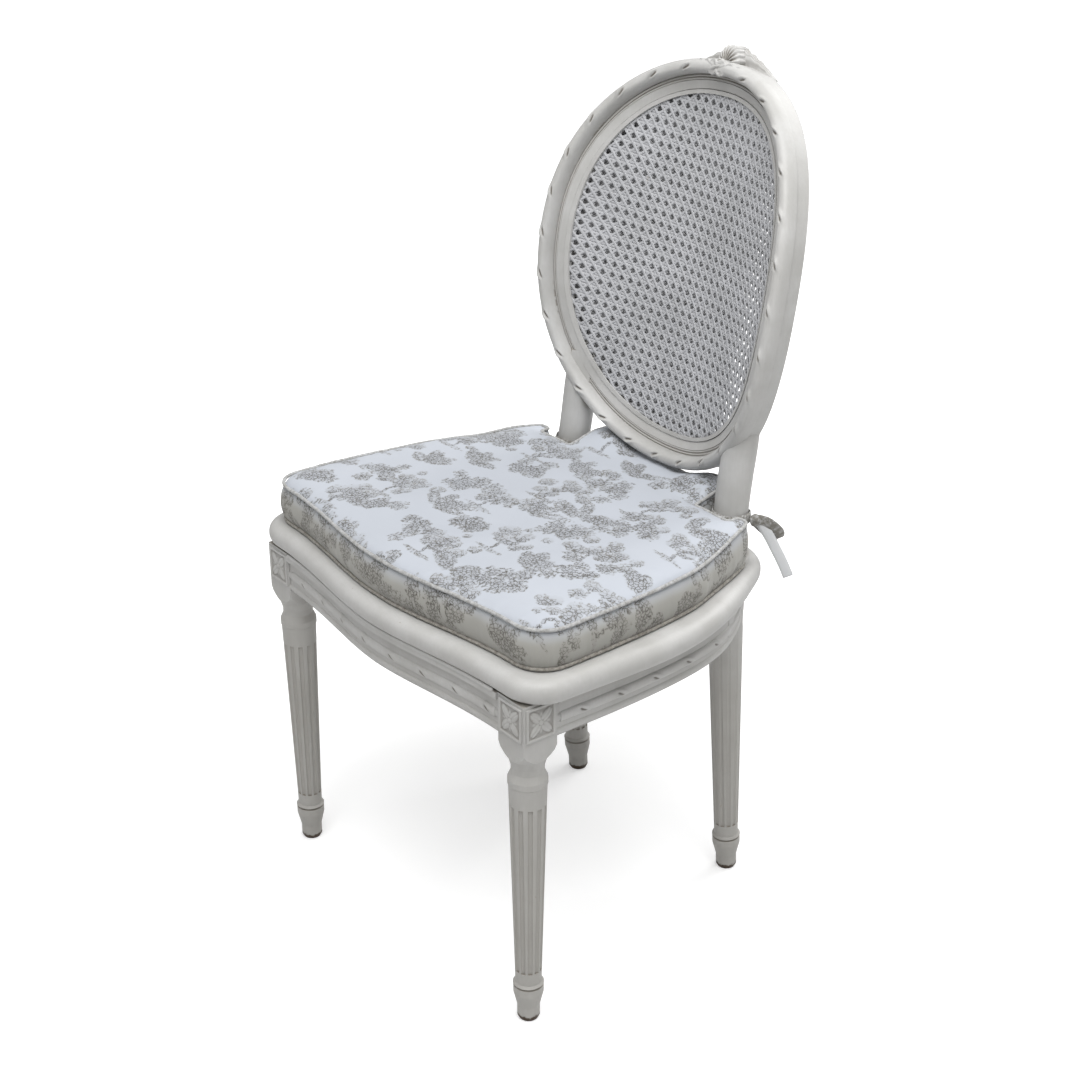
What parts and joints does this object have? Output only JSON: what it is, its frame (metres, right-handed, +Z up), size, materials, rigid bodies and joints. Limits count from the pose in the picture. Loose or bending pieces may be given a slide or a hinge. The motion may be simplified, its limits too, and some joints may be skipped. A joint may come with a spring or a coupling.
{
  "type": "caned side chair",
  "caption": "Armless painted wooden side chair with a hollow oval cane back, fluted tapering legs, moulded serpentine seat frame and a loose printed tie-on cushion.",
  "frame": {"origin": "on the floor at the middle of the chair's outline", "axes": "+Z up, the chair faces -Y, +X to the sitter's left"},
  "size_m": [0.5394, 0.5269, 0.9611],
  "materials": {
    "painted_wood": "worn grey-white paint with a warm glaze in the hollows",
    "bare_wood": "unfinished beech",
    "painted_cane": "cane painted grey-white",
    "cushion_filling": "soft foam",
    "cushion_cloth": "printed cotton",
    "piping_cloth": "cotton-covered cord",
    "tie_cloth": "printed cotton tape"
  },
  "bodies": {
    "frame": {"right_front_leg": "painted_wood", "left_front_leg": "painted_wood", "right_stile": "painted_wood", "left_stile": "painted_wood", "crest_rail": "painted_wood", "lower_rail": "painted_wood", "front_rail": "painted_wood", "right_side_rail": "painted_wood", "left_side_rail": "painted_wood", "back_rail": "painted_wood", "right_corner_block": "bare_wood", "left_corner_block": "bare_wood", "back_cane_front": "painted_cane", "back_cane_rear": "painted_cane", "back_spline_front": "painted_cane", "back_spline_rear": "painted_cane", "seat_cane": "painted_cane", "seat_cane_spline": "painted_cane", "right_tie": "tie_cloth", "left_tie": "tie_cloth"},
    "cushion": {"cushion_pad": "cushion_filling", "cushion_cover": "cushion_cloth", "cushion_top_piping": "piping_cloth", "cushion_bottom_piping": "piping_cloth"}
  },
  "joints": [
    {"name": "cushion_draws_forward", "type": "slide", "parent": "frame", "child": "cushion", "axis": [0, -1, 0], "range_m": [0, 0.12]}
  ]
}
